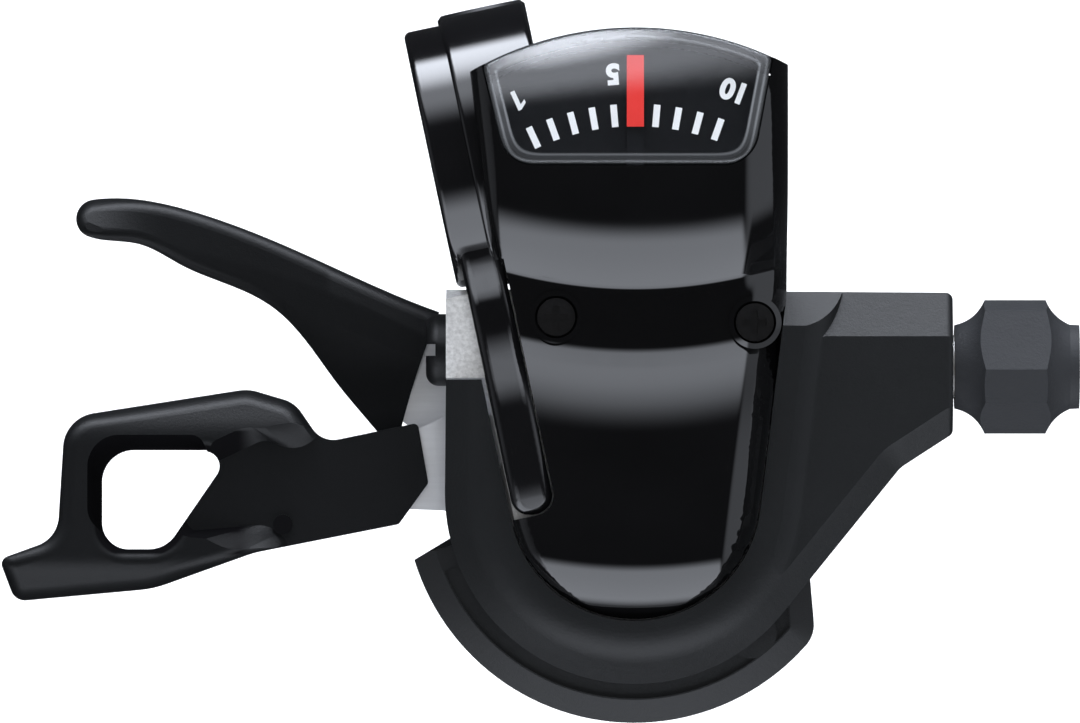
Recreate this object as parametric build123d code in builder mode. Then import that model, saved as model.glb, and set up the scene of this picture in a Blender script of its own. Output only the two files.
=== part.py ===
from build123d import *
from math import atan2, cos, degrees, hypot, radians, sin, sqrt, tan
import os

# Trigger gear shifter for the right end of a handlebar, ten speeds, with a needle dial.
# Millimetres. The origin is the centre of the handlebar clamp, +Z comes up out of the dial,
# +X runs along the cable to its outlet and +Y points at the rider.

# Fits and clearances
RUN = 0.05  # radial play of a hub on its shaft
GAP = 0.3  # space between pieces that move past each other
SEAM = 0.15  # joint line between two fixed covers

# Handlebar clamp
BAR_D = 22.2
BAR_TILT = 12.0  # lean of the bar from the cable line, degrees
CLAMP_WALL = 1.8
CLAMP_W = 11.6
RIM_W = 3.6  # narrow lower rim at the outer end of the ring
RIM_STEP = 0.6
TAIL_W = 3.9
TAIL_IN = 0.8  # the tail starts this far in from the ring's outer end
TAIL_L = 21.7  # from the ring to the end of the tail
TAIL_ROUND = 0.9
SPLIT = 1.6
SPLIT_AT = 4.6
LUG_T = 4.6
LUG_L = 7.7  # the lugs hang this far below the ring
CLAMP_BOLT_D = 5.0

# Lever axle, the centre of the mechanism, and the cable line above it
AXLE_X = 13.6
CABLE_DROP = 7.75  # cable line, below the clamp ring
AXLE_D = 6.0
AXLE_THREAD_D = 5.0

# Heights of the stack on the axle, from the bracket down
BRACKET_T = 2.0
DRUM_H = 4.8
RATCHET_T = 1.2
PLATE_T = 1.5  # steel lever plates
RELEASE_SPRING_H = 2.3
FEED_ROOM = 2.5
MAIN_SPRING_H = 4.4
FOOT_T = 1.2

# Indexing
GEARS = 10
GEAR_PITCH = 16.0  # drum turn from one gear to the next, degrees
REST_GEAR = 6
GROOVE_R = 12.0  # the cable's radius on the drum
TOOTH_H = 1.5
PAWL_PIN_D = 1.8
PAWL_WALL = 0.8  # a pawl's metal round its pin
HOLD_PIN_AT = 262.0  # where the pawl pins stand, degrees
FEED_PIN_AT = 172.0
NOSE_AHEAD = 28.0
PAWL_LIFT = 14.0
FEED_STEPS = 3  # gears in one full push of the main lever
CABLE_D = 1.2
GROOVE_W = 1.8
NIPPLE_D = 4.2
NIPPLE_AT = 205.0
NUT_H = 3.2
AXLE_HEAD_H = 1.8

# Upper body
BODY_TOP = 4.8
BODY_WALL = 1.7
BODY_RIM = 6.0  # width of the rolled rim round the top cover
TONGUE_LEAN = 7.0  # lean of its right side, degrees
ARM_L = 12.1  # the arm stands out from the bowl
ARM_UP = 7.0  # arm edges above and below the cable line
ARM_DOWN = 5.9
ARM_SLOPE = 51.0  # rise of the arm's lower edge, degrees
ARM_BEVEL_DROP = 3.2
ARM_SINK = 0.9  # the arm's face, below the rim
ARM_BACK_W = 4.1  # bevel along the arm's back
ARM_BACK_DROP = 2.7
ARM_ROUND = 0.7  # edges of the arm's end and the hollow along the rim
RIM_ROUND = 4.0  # roll of the bowl's rim

# Base cover
BASE_OVER = 3.9  # the base stands out round the bowl
BASE_WALL = 1.7
BRIM_W = 2.2
BRIM_DROP = 1.5
LEDGE_T = 2.2
LEDGE_DROP = 0.4  # floor of the channel between brim and bowl

# Top cover with the indicator
COVER_WALL = 1.5
CROWN_R = 80.0  # the cover's skin is this round across
PLAN_R = 46.0  # and its saddle this round seen from above
COVER_ROUND = 2.6
DIAL_UP = 0.9  # needle pivot, above the cable line
DIAL_INSET = 1.75  # crown of the dial's arc, in from the ring's outer edge
LENS_T = 1.2
LENS_ROUND = 0.4
DIAL_T = 0.5
TRAY_T = 0.8
NEEDLE_W = 1.6
NEEDLE_L = 6.7
COLLAR_R = 2.5  # raised rings round the cover's screw holes
COLLAR_UP = 0.3
NEEDLE_PIN_D = 2.0
SCREW_D = 2.4
SCREW_HEAD_D = 3.6
BOSS_R = 2.2

# Cable line
PLUG_D = 6.8
PLUG_THREAD_D = 4.4
KNOB_FLAT = 10.95  # across the four wide flats
KNOB_CORNER = 12.2  # across the four narrow ones
KNOB_TURN = 62.3  # lean of a wide flat from the back, degrees
KNOB_NECK_R = 3.95
KNOB_L = 11.8
STEM_D = 6.0
CABLE_HOLE_D = 1.8
HOUSING_D = 5.1  # seat for the cable housing's end cap

# Levers
RELEASE_UP = 1.9  # the loop's rails stand this far over the lever's flat
RELEASE_T = 6.0
RELEASE_CAP_OVER = 0.7
RAIL_ROUND = 1.4
FOOT_ROUND = 0.8  # lower edges of the loop
MAIN_CAP_OVER = 1.6
MAIN_DEPTH = 12.3  # at the deepest place of the belly
MAIN_ROUND = 1.2
RIVET_D = 1.9
RIVET_AT = (-15.4, -2.9)
CREASE = ((-29.7, 24.0), (-2.4, 12.65))  # ridge line of the main lever
CREASE_FALL = 14.0

# Outline of the release lever from the bowl's left side, with the rounding of each corner
RELEASE_EDGE = [(-2.6, 6.7), (-1.6, 1.0), (-4.4, -2.9), (-18.1, -5.6), (-27.6, -9.0), (-40.7, -10.2),
                (-42.2, -6.2), (-36.7, -4.2), (-36.0, 7.2), (-18.7, 9.9), (-14.3, 8.6), (-11.7, 4.8)]
RELEASE_ROUND = [0.5, 0.5, 0.5, 8, 10, 1.4, 0.8, 3.0, 3.4, 4.0, 3.0, 2.4]
RELEASE_HOLE = [(-32.5, 4.0), (-20.1, 4.0), (-26.5, -5.3), (-32.5, -5.3)]
RELEASE_HOLE_ROUND = [3.0, 1.4, 3.2, 2.4]
RELEASE_FLOOR = [(-22.5, 2.6), (-17.0, 5.2), (-13.6, 3.6), (-10.1, 8), (2.9, 8), (2.9, -9), (-12.6, -9),
                 (-16.1, -2.8), (-25.0, -3.6)]
RELEASE_FLOOR_ROUND = [1.0, 2.0, 3.0, 1.0, 1.0, 1.0, 1.0, 3.0, 1.0]
FLOOR_SLOPE = 45.0  # sides of the web, from upright
LOOP_SLOPE = (-0.17, 0.2, 1.0)  # way up along the loop's sloping inner sides

def polar(radius, angle, centre=(0, 0)):
    """The point at a radius and an angle in degrees about a centre."""
    return (centre[0] + radius * cos(radians(angle)), centre[1] + radius * sin(radians(angle)))


# Derived places
BAR_R = BAR_D / 2
CLAMP_R = BAR_R + CLAMP_WALL
TAIL_END = CLAMP_R + TAIL_L
LUG_DROP = CLAMP_R + LUG_L
AXLE_Y = -CLAMP_R - CABLE_DROP - GROOVE_R
BAR_Y = -AXLE_Y
LEAN = radians(BAR_TILT)
BAR_AXIS = Vector(cos(LEAN), sin(LEAN), 0)
BAR_UP = Vector(-sin(LEAN), cos(LEAN), 0)
CLEAR_R = CLAMP_R + GAP
HUB_R = AXLE_D / 2 + 2.0
PLATE_R = HUB_R + 3.4
DRUM_R = GROOVE_R + 0.75 * CABLE_D
TOOTH_TIP = GROOVE_R - 0.2
TOOTH_ROOT = TOOTH_TIP - TOOTH_H
NOSE_R = TOOTH_ROOT + 0.2  # a pawl's nose when it is set in the teeth
PAWL_BOSS = PAWL_PIN_D / 2 + PAWL_WALL
PAWL_PIN_R = TOOTH_TIP + PAWL_BOSS + 0.7  # distance of both pawl pins from the axle
CAVITY_R = PAWL_PIN_R + PAWL_BOSS + GAP
BODY_R = CAVITY_R + BODY_WALL
TONGUE_R = BODY_R - BODY_RIM
BASE_R = BODY_R + BASE_OVER
FOOT_R = PAWL_PIN_R + GAP
ARM_END = BODY_R + ARM_L
DRUM_TOP = -GAP - 0.1
DRUM_LOW = DRUM_TOP - DRUM_H
HOLD_LOW = DRUM_LOW - RATCHET_T
RELEASE_TOP = HOLD_LOW - 0.5
RELEASE_LOW = RELEASE_TOP - PLATE_T
PART_LINE = RELEASE_LOW - RELEASE_SPRING_H  # where upper body and base cover meet
FEED_TOP = RELEASE_LOW - RELEASE_SPRING_H - GAP
FEED_LOW = FEED_TOP - RATCHET_T
MAIN_TOP = FEED_LOW - FEED_ROOM
MAIN_LOW = MAIN_TOP - PLATE_T
FOOT_TOP = MAIN_LOW - MAIN_SPRING_H - 2 * GAP
FOOT_LOW = FOOT_TOP - FOOT_T
BASE_LOW = FOOT_LOW - AXLE_HEAD_H - 3 * GAP - BASE_WALL
CABLE_Z = DRUM_TOP - DRUM_H * 0.45
CABLE_Y = AXLE_Y + GROOVE_R
ARM_TOP_Y = GROOVE_R + ARM_UP
ARM_LOW_Y = GROOVE_R - ARM_DOWN
TRAY_R = CLEAR_R + TRAY_T
DIAL_Z = TRAY_R
PIVOT_Y = GROOVE_R + DIAL_UP
LENS_R = BAR_Y + CLAMP_R - DIAL_INSET - PIVOT_Y
NEEDLE_TIP = LENS_R - 2.6
NEEDLE_FOOT = NEEDLE_TIP - NEEDLE_L
NEEDLE_Z = DIAL_Z + DIAL_T + GAP
POINTER_TOP = NEEDLE_Z + 1.0
LENS_LOW = NEEDLE_Z + 0.6 + GAP
RELEASE_FLAT = RELEASE_TOP + RELEASE_CAP_OVER
BOLT_Z = 4.4 - LUG_DROP
BOLT_SEAT = SPLIT_AT + SPLIT / 2 + LUG_T - 1.6
BOLT_END = SPLIT_AT - SPLIT / 2 - LUG_T
BLOCK_LOW = CABLE_Z - PLUG_D / 2
PLUG_UP = GROOVE_R + 1.6
LEG_TOP = PLUG_UP - PLUG_THREAD_D / 2 - 2 * GAP
SCREW_SEAT = BRACKET_T + 1.2
SADDLE_Z = BRACKET_T + 4.6
HOLD_TOOTH = HOLD_PIN_AT + NOSE_AHEAD + 0.6
FEED_TOOTH = FEED_PIN_AT + NOSE_AHEAD + 0.6
PIN_TOP = 2.4
ARM_Z = BRACKET_T + 1.4
TRAY_LOW = BRACKET_T + 4.0
LENS_RIM = 1.0
INSERT_IN = ARM_END - 10.0
INSERT_T = 1.1
KNOB_START = ARM_END + 0.2
KNOB_IN = KNOB_START + 4.2
BASE_SCREWS = (polar(BODY_R - 2.5, 315), (BODY_R - 5.1, GROOVE_R + 0.6))
BASE_BOSS = polar(BODY_R - 0.6, 310)
COVER_SCREWS = ((4.5 - TONGUE_R, ARM_TOP_Y - 2.3), (TONGUE_R - 0.6, ARM_TOP_Y - 2.8))
SCREW_WELL_R = SCREW_HEAD_D / 2 + 0.2
TAIL_MIDDLE = BAR_AXIS * (TAIL_IN + (TAIL_W - CLAMP_W) / 2) - Vector(AXLE_X, AXLE_Y)
TAIL_SCREW = TAIL_MIDDLE - BAR_UP * (TAIL_END - 10.0)


def level(z):
    """Plane at height z with its origin on the lever axle."""
    return Plane((AXLE_X, AXLE_Y, z))


def beside(z):
    """Plane at height z with its origin on the left side of the bowl."""
    return Plane((AXLE_X - BODY_R, AXLE_Y, z))


def across_bar(along):
    """Plane square to the bar: its x goes up the ring and its y is +Z."""
    return Plane(origin=BAR_AXIS * along, x_dir=BAR_UP, z_dir=BAR_AXIS)


def side(x):
    """Plane square to the cable line, x from the axle: its x is +Y and its y is +Z."""
    return Plane(origin=(AXLE_X + x, AXLE_Y, 0), x_dir=(0, 1, 0), z_dir=(1, 0, 0))


def on_cable(x):
    """Plane square to the cable line with its origin on the cable, x from the axle."""
    return Plane(origin=(AXLE_X + x, CABLE_Y, CABLE_Z), x_dir=(0, 1, 0), z_dir=(1, 0, 0))


def across_bolt(along):
    """Plane square to the clamp bolt, along its axis from the bar's centre."""
    middle = BAR_AXIS * (RIM_W / 2) + BAR_UP * along + Vector(0, 0, BOLT_Z)
    return Plane(origin=middle, x_dir=BAR_AXIS, z_dir=BAR_UP)


def on_plug(x):
    """Plane square to the cable plug's axis, x from the axle."""
    return Plane(origin=(AXLE_X + x, AXLE_Y + PLUG_UP, CABLE_Z), x_dir=(0, 1, 0), z_dir=(1, 0, 0))


def tongue(radius, top):
    """Round-bottomed tongue about the axle with leaning sides, open to a straight top."""
    left = polar(radius, 180 + BAR_TILT)
    right = polar(radius, -TONGUE_LEAN)
    top_left = (left[0] - (top - left[1]) * tan(LEAN), top)
    top_right = (right[0] + (top - right[1]) * tan(radians(TONGUE_LEAN)), top)
    with BuildLine() as outline:
        Line(top_left, left)
        ThreePointArc(left, polar(radius, 270), right)
        Polyline(right, top_right, top_left)
    make_face(outline.edges())


def cover_plan(inset):
    """Outline of the top cover: the tongue below and the indicator housing above it."""
    radius = TONGUE_R - SEAM - inset
    left = polar(radius, 180 + BAR_TILT)
    right = polar(radius, -TONGUE_LEAN)
    arc_r = LENS_R - inset
    x_left = inset - TONGUE_R - 3.6
    x_right = TONGUE_R + 2.4 - inset
    y_left = PIVOT_Y + sqrt(arc_r**2 - x_left**2)
    y_right = PIVOT_Y + sqrt(arc_r**2 - x_right**2)
    with BuildLine() as outline:
        Polyline((x_left, y_left), (x_left + 2.3, ARM_TOP_Y + 0.5), (x_left + 0.7, ARM_TOP_Y - 1), left)
        ThreePointArc(left, polar(radius, 270), right)
        Polyline(right, (x_right, ARM_TOP_Y), (x_right, y_right))
        ThreePointArc((x_right, y_right), (0, PIVOT_Y + arc_r), (x_left, y_left))
    make_face(outline.edges())


def under_skin(drop):
    """Solid under the top cover's skin: the side view lofted across, falling and curving to both sides."""
    pod = [(CLAMP_R + 0.45, 1.2), (CLAMP_R - 1.75, 2.4), (5.35, 4.4), (-1.65, 4.8), (-6.65, 3.6),
           (2.15 - CLAMP_R, -0.4)]
    pod = [(BAR_Y + y, DIAL_Z + z) for y, z in pod]
    saddle = [(GROOVE_R + 7.3, SADDLE_Z + 2.6), (GROOVE_R + 4.6, SADDLE_Z + 0.1), (GROOVE_R + 1.6, SADDLE_Z),
              (GROOVE_R - 2.5, SADDLE_Z + 1.3)]
    toe = [(TONGUE_R - 9.4, SADDLE_Z + 2.8), (7.4 - TONGUE_R, SADDLE_Z + 2.0), (2.5 - TONGUE_R, SADDLE_Z - 0.4),
           (-0.5 - TONGUE_R, SADDLE_Z - 4.0)]
    views = []
    for x in (-2 * TONGUE_R, 0, 2 * TONGUE_R):
        sag = CROWN_R - sqrt(CROWN_R**2 - x**2) + drop
        swing = PLAN_R - sqrt(PLAN_R**2 - x**2)
        curve = [(y + swing, z - sag) for y, z in pod + saddle + toe]
        with BuildSketch(side(x)) as view:
            with BuildLine() as outline:
                Spline(*curve)
                Polyline(curve[-1], (curve[-1][0], -40), (curve[0][0], -40), curve[0])
            make_face(outline.edges())
        views.append(view.sketch)
    return loft(views, mode=Mode.PRIVATE)


def lens_plan(inset):
    """Outline of the lens: an arc on top, leaning sides and a straight lower edge."""
    arc_r = LENS_R - inset
    low = BAR_Y - 1.65 + inset
    sides = (inset - TONGUE_R - 2.4, TONGUE_R + 0.9 - inset)
    top = [(x, PIVOT_Y + sqrt(arc_r**2 - x**2)) for x in sides]
    with BuildLine() as outline:
        FilletPolyline(top[0], (sides[0] + 2.3, low), (sides[1] - 1.9, low), top[1], radius=3.2 - inset)
        ThreePointArc(top[1], (0, PIVOT_Y + arc_r), top[0])
    make_face(outline.edges())


def tail_plan(inset):
    """Strip of the clamp's tail seen from above, in the frame of the lever axle."""
    half = BAR_AXIS * (TAIL_W / 2 - inset)
    root = TAIL_MIDDLE - BAR_UP * (CLAMP_R - 2.4)
    foot = TAIL_MIDDLE - BAR_UP * (TAIL_END - inset)
    with BuildLine() as outline:
        FilletPolyline(root - half, foot - half, foot + half, root + half, radius=(TAIL_W / 2 - inset) * 0.9)
        Line(root + half, root - half)
    make_face(outline.edges())


def body_plan():
    """Outline of the upper body: a round bowl that runs out into the cable arm."""
    foot = polar(BODY_R, ARM_SLOPE - 90)
    rise = ARM_LOW_Y - 3.6 - foot[1]
    bend = (foot[0] + rise / tan(radians(ARM_SLOPE)), ARM_LOW_Y - 3.6)
    with BuildLine() as outline:
        Polyline((-BODY_R, 0), (-BODY_R + 0.1, LEG_TOP), (0, LEG_TOP), (0, ARM_TOP_Y + 0.2))
        FilletPolyline((0, ARM_TOP_Y + 0.2), (ARM_END, ARM_TOP_Y), (ARM_END, ARM_LOW_Y - 0.4),
                       bend, foot, radius=[0, 0, 3.0])
        ThreePointArc(foot, polar(BODY_R, 225), (-BODY_R, 0))
    make_face(outline.edges())


def base_plan():
    """Outline of the base cover: a wide arc below and a narrower hidden upper part."""
    start = polar(BASE_R, 197)
    end = polar(BASE_R, 322)
    with BuildLine() as outline:
        ThreePointArc(start, polar(BASE_R, 260), end)
        Polyline(end, polar(BODY_R, -22), (BODY_R - 1.7, GROOVE_R - 2), (BODY_R - 6.9, ARM_TOP_Y - 2),
                 (7.9 - BODY_R, ARM_TOP_Y - 2), (1.5 - BODY_R, GROOVE_R - 1), (1.0 - BODY_R, -4), start)
    make_face(outline.edges())


def ratchet(first, count):
    """Toothed disc: teeth one gear apart, steep on their low-angle side, plain for the rest."""
    points = []
    for tooth in range(count):
        start = first + tooth * GEAR_PITCH
        points.append(polar(TOOTH_ROOT, start))
        points.append(polar(TOOTH_TIP, start + 0.06 * GEAR_PITCH))
        points.append(polar(TOOTH_TIP, start + 0.24 * GEAR_PITCH))
    points.append(polar(TOOTH_ROOT, first + count * GEAR_PITCH))
    middle = first + (count * GEAR_PITCH + 360) / 2
    with BuildLine() as outline:
        Polyline(*points)
        ThreePointArc(points[-1], polar(TOOTH_ROOT, middle), points[0])
    make_face(outline.edges())


def pawl_plane(pin_at, z):
    """Plane on a pawl's pin with its x along the lifted pawl."""
    pin = polar(PAWL_PIN_R, pin_at)
    nose = polar(NOSE_R, pin_at + NOSE_AHEAD)
    set_in = degrees(atan2(nose[1] - pin[1], nose[0] - pin[0]))
    lifted = polar(1, set_in - PAWL_LIFT)
    return Plane(origin=(AXLE_X + pin[0], AXLE_Y + pin[1], z), x_dir=(*lifted, 0), z_dir=(0, 0, 1))


def pawl():
    """Pawl about its pin: a round boss, an arm along x and a nose turned to the axle."""
    pin = polar(PAWL_PIN_R, 0)
    nose = polar(NOSE_R, NOSE_AHEAD)
    reach = hypot(nose[0] - pin[0], nose[1] - pin[1])
    with BuildLine() as outline:
        Polyline((0, -PAWL_BOSS), (reach - 0.4, -2.1), (reach, 0), (reach - 0.5, 0), (reach - 1.6, -0.9),
                 (0, 0), (0, -PAWL_BOSS))
    make_face(outline.edges())
    Circle(PAWL_BOSS)
    Circle(PAWL_PIN_D / 2 + RUN, mode=Mode.SUBTRACT)


def hub_key(mode):
    """Round hub with two flats, the key between drum and ratchets."""
    with BuildSketch(mode=Mode.PRIVATE) as key:
        Circle(HUB_R)
        Rectangle(3 * HUB_R, 1.6 * HUB_R, mode=Mode.INTERSECT)
    add(key.sketch, mode=mode)


def crease_plane():
    """Plane square to the main lever's crease: x falls away from it and y is down."""
    start = Vector(*CREASE[0])
    run = (Vector(*CREASE[1]) - start).normalized()
    away = Vector(run.Y, -run.X)
    origin = start - run * 30 + beside(MAIN_TOP + MAIN_CAP_OVER).origin
    return Plane(origin=origin, x_dir=away, z_dir=run)


def coil(plane_z, height, radius, wire, turns):
    """Flat-wire coil spring about the axle, standing on plane_z."""
    base = Vector(AXLE_X, AXLE_Y, plane_z + wire / 2)
    with BuildLine() as path:
        Helix(pitch=(height - wire) / turns, height=height - wire, radius=radius, center=base)
    with BuildSketch(Plane(origin=path.line @ 0, x_dir=(1, 0, 0), z_dir=path.line % 0)) as section:
        Rectangle(wire * 0.8, wire)
    sweep(section.sketch, path=path.line, is_frenet=True)


def keep(part, name):
    """Names a finished piece and writes it out."""
    part.part.label = name
    export_step(part.part, "parts/" + name + ".step")


def keep_solid(solid, name):
    """Names one solid of a set and writes it out."""
    solid.label = name
    export_step(solid, "parts/" + name + ".step")


os.makedirs("parts", exist_ok=True)

# Tail of the clamp: a rounded strip from the ring down onto the bracket
with BuildPart() as tail:
    root = polar(CLAMP_R - 0.8, 137.3)
    rise = [(1.3 - CLAMP_R, 5.4), (-1.5 - CLAMP_R, 4.2), (-4.6 - CLAMP_R, 4.5), (10.6 - TAIL_END, 6.9),
            (4.6 - TAIL_END, 7.2), (-TAIL_END, 5.8)]
    rise = [(up, BRACKET_T + z) for up, z in rise]
    with BuildSketch(across_bar(TAIL_IN - CLAMP_W / 2)):
        with BuildLine():
            Spline(root, *rise)
            Polyline(rise[-1], (-TAIL_END, BRACKET_T), (-BAR_R - 0.5, BRACKET_T), root)
        make_face()
    extrude(amount=TAIL_W)
    fillet(tail.edges().filter_by(Axis.Z).sort_by(Axis.Y)[:2], TAIL_W * 0.44)
    fillet(tail.faces().sort_by(Axis.Z)[-1].edges().sort_by(Axis.Y)[:-1], TAIL_ROUND)

# Clamp band: ring, narrow rim, tail and the two lugs behind it
with BuildPart() as clamp_band:
    with BuildSketch(across_bar(RIM_W - CLAMP_W / 2)):
        Circle(CLAMP_R)
    extrude(amount=CLAMP_W - RIM_W)
    fillet(clamp_band.edges().filter_by(GeomType.CIRCLE), 0.75 * RIM_STEP)
    with BuildSketch(across_bar(-CLAMP_W / 2)):
        Circle(CLAMP_R - RIM_STEP)
    extrude(amount=RIM_W)
    rim_end = clamp_band.faces().sort_by(Axis((0, 0, 0), BAR_AXIS))[0]
    fillet(rim_end.edges(), RIM_STEP)
    with BuildSketch(across_bar(RIM_W - CLAMP_W / 2)):
        with Locations((SPLIT_AT, -LUG_DROP / 2)):
            RectangleRounded(SPLIT + 2 * LUG_T, LUG_DROP, 2.0)
    extrude(amount=CLAMP_W - RIM_W)
    add(tail.part)
    with BuildSketch(across_bar(-CLAMP_W)):
        Circle(BAR_R)
        with Locations((SPLIT_AT, -LUG_DROP / 2)):
            Rectangle(SPLIT, LUG_DROP + 4)
    extrude(amount=2 * CLAMP_W, mode=Mode.SUBTRACT)
    with BuildSketch(across_bolt(0)):
        Circle(CLAMP_BOLT_D / 2)
    extrude(amount=30, both=True, mode=Mode.SUBTRACT)
    with BuildSketch(across_bolt(BOLT_SEAT)):
        Circle(CLAMP_BOLT_D * 0.85 + SEAM)
    extrude(amount=10, mode=Mode.SUBTRACT)
    with BuildSketch(level(0)):
        with Locations(TAIL_SCREW):
            Circle(SCREW_D / 2)
    extrude(amount=BRACKET_T + 4, mode=Mode.SUBTRACT)
keep(clamp_band, "clamp_band")

# Clamp bolt with a hexagon socket
with BuildPart() as clamp_bolt:
    with BuildSketch(across_bolt(BOLT_END)):
        Circle(CLAMP_BOLT_D / 2)
    extrude(amount=BOLT_SEAT - BOLT_END)
    with BuildSketch(across_bolt(BOLT_SEAT)):
        Circle(CLAMP_BOLT_D * 0.85)
    extrude(amount=CLAMP_BOLT_D)
    chamfer(clamp_bolt.faces().sort_by(Axis.Y)[-1].edges(), 0.4)
    with BuildSketch(across_bolt(BOLT_SEAT + CLAMP_BOLT_D - 2.6)):
        RegularPolygon(2.0, 6, major_radius=False)
    extrude(amount=5, mode=Mode.SUBTRACT)
keep(clamp_bolt, "clamp_bolt")

# Cast bracket that carries the clamp, the axle and the cable plug
with BuildPart() as bracket:
    with BuildSketch(level(0)):
        tongue(TONGUE_R - GAP, ARM_TOP_Y + 0.3)
    extrude(amount=BRACKET_T)
    with BuildSketch(level(BLOCK_LOW)):
        with Locations((-BODY_R + 0.1, LEG_TOP + SEAM)):
            Rectangle(7, ARM_TOP_Y + 0.3 - LEG_TOP - SEAM, align=(Align.MIN, Align.MIN))
    extrude(amount=BRACKET_T - BLOCK_LOW)
    with BuildSketch(across_bar(-60)):
        Circle(CLEAR_R)
    extrude(amount=120, mode=Mode.SUBTRACT)
    with BuildSketch(level(-1)):
        Circle(AXLE_THREAD_D / 2)
        with Locations(*COVER_SCREWS, TAIL_SCREW):
            Circle(SCREW_D / 2)
        with Locations((0, PIVOT_Y)):
            Circle(NEEDLE_PIN_D / 2)
    extrude(amount=BRACKET_T + 2, mode=Mode.SUBTRACT)
    with BuildSketch(on_plug(-BODY_R - 1)):
        Circle(PLUG_THREAD_D / 2)
    extrude(amount=9, mode=Mode.SUBTRACT)
keep(bracket, "bracket")

# Screw that holds the clamp's tail from below the bracket
with BuildPart() as tail_screw:
    with BuildSketch(level(0)):
        with Locations(TAIL_SCREW):
            Circle(SCREW_D / 2)
    extrude(amount=BRACKET_T + 3.6)
keep(tail_screw, "tail_screw")

# Cable plug: domed head with a slot, screwed into the bracket
with BuildPart() as cable_plug:
    with BuildSketch(on_plug(-BODY_R + 0.1)):
        Circle(PLUG_D / 2)
    extrude(amount=-1.9)
    fillet(cable_plug.faces().sort_by(Axis.X)[0].edges(), 1.2)
    with BuildSketch(on_plug(-BODY_R + 0.1)):
        Circle(PLUG_THREAD_D / 2)
    extrude(amount=4.5)
    with BuildSketch(on_plug(-BODY_R - 2.5)):
        Rectangle(1.1, PLUG_D + 1)
    extrude(amount=1.6, mode=Mode.SUBTRACT)
keep(cable_plug, "cable_plug")

# Space inside the top cover
with BuildPart() as cover_core:
    with BuildSketch(level(0)):
        cover_plan(COVER_WALL)
    extrude(amount=30)
    add(under_skin(COVER_WALL), mode=Mode.INTERSECT)
    with BuildSketch(level(0)):
        with Locations(*COVER_SCREWS):
            Circle(SCREW_WELL_R + COVER_WALL)
    extrude(amount=30, mode=Mode.SUBTRACT)

# Raised collars round the cover's screw holes
with BuildPart() as collars:
    with BuildSketch(level(BRACKET_T)):
        with Locations(*COVER_SCREWS):
            Circle(COLLAR_R)
    extrude(amount=30)
    add(under_skin(-COLLAR_UP), mode=Mode.INTERSECT)

# Top cover: saddle-shaped shell with the window of the indicator
with BuildPart() as top_cover:
    with BuildSketch(level(BRACKET_T)):
        cover_plan(0)
    extrude(amount=30)
    add(under_skin(0), mode=Mode.INTERSECT)
    skin = top_cover.faces().filter_by(GeomType.BSPLINE)[0]
    rolled = skin.edges().sort_by(Axis.Y)[:-1].sort_by(SortBy.LENGTH)[1:]
    fillet(rolled, COVER_ROUND)
    add(cover_core.part, mode=Mode.SUBTRACT)
    with BuildSketch(across_bar(-60)):
        Circle(CLEAR_R)
    extrude(amount=120, mode=Mode.SUBTRACT)
    tail_low = TAIL_MIDDLE - BAR_UP * (TAIL_END + SEAM)
    tail_high = TAIL_MIDDLE - BAR_UP * CLAMP_R
    beyond = BAR_AXIS * 2 * TAIL_W
    with BuildSketch(level(0)):
        tail_plan(-SEAM)
        with BuildLine():
            Polyline(tail_low, tail_high, tail_high - beyond, tail_low - beyond, tail_low)
        make_face()
    extrude(amount=30, mode=Mode.SUBTRACT)
    with BuildSketch(level(LENS_LOW)):
        lens_plan(-SEAM)
    extrude(amount=10, mode=Mode.SUBTRACT)
    add(collars.part)
    with BuildSketch(level(0)):
        with Locations(*COVER_SCREWS):
            Circle(SCREW_D / 2)
    extrude(amount=30, mode=Mode.SUBTRACT)
    with BuildSketch(level(SCREW_SEAT)):
        with Locations(*COVER_SCREWS):
            Circle(SCREW_WELL_R)
    extrude(amount=30, mode=Mode.SUBTRACT)
keep(top_cover, "top_cover")

# Screws of the top cover, sunk in its two holes
with BuildPart() as cover_screws:
    with BuildSketch(level(0)):
        with Locations(*COVER_SCREWS):
            Circle(SCREW_D / 2)
    extrude(amount=SCREW_SEAT)
    with BuildSketch(level(SCREW_SEAT)):
        with Locations(*COVER_SCREWS):
            Circle(SCREW_HEAD_D / 2)
    extrude(amount=1.3)
    with BuildSketch(level(SCREW_SEAT + 0.6)):
        with Locations(*COVER_SCREWS):
            Rectangle(2.2, 0.6)
            Rectangle(0.6, 2.2)
    extrude(amount=2, mode=Mode.SUBTRACT)
for place, screw in enumerate(cover_screws.part.solids().sort_by(Axis.X), 1):
    keep_solid(screw, f"cover_screw_{place}")

# Tray that closes the indicator housing over the bar
with BuildPart() as dial_tray:
    with BuildSketch(across_bar(-30)):
        Circle(TRAY_R)
        Circle(CLEAR_R, mode=Mode.SUBTRACT)
    extrude(amount=80)
    with BuildSketch(level(TRAY_LOW)):
        cover_plan(COVER_WALL + SEAM)
    extrude(amount=30, mode=Mode.INTERSECT)
    add(under_skin(COVER_WALL + SEAM), mode=Mode.INTERSECT)
keep(dial_tray, "dial_tray")

# Dial plate, resting on the top of the tray
with BuildPart() as dial_plate:
    with BuildSketch(level(DIAL_Z)):
        lens_plan(0.5)
        with Locations((0, PIVOT_Y)):
            Circle(LENS_R - COVER_WALL - SEAM, mode=Mode.INTERSECT)
    extrude(amount=DIAL_T)
keep(dial_plate, "dial_plate")

# Space under the lens
with BuildPart() as lens_core:
    with BuildSketch(level(LENS_LOW - 1)):
        lens_plan(LENS_RIM)
    extrude(amount=9)
    add(under_skin(LENS_T), mode=Mode.INTERSECT)

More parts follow.
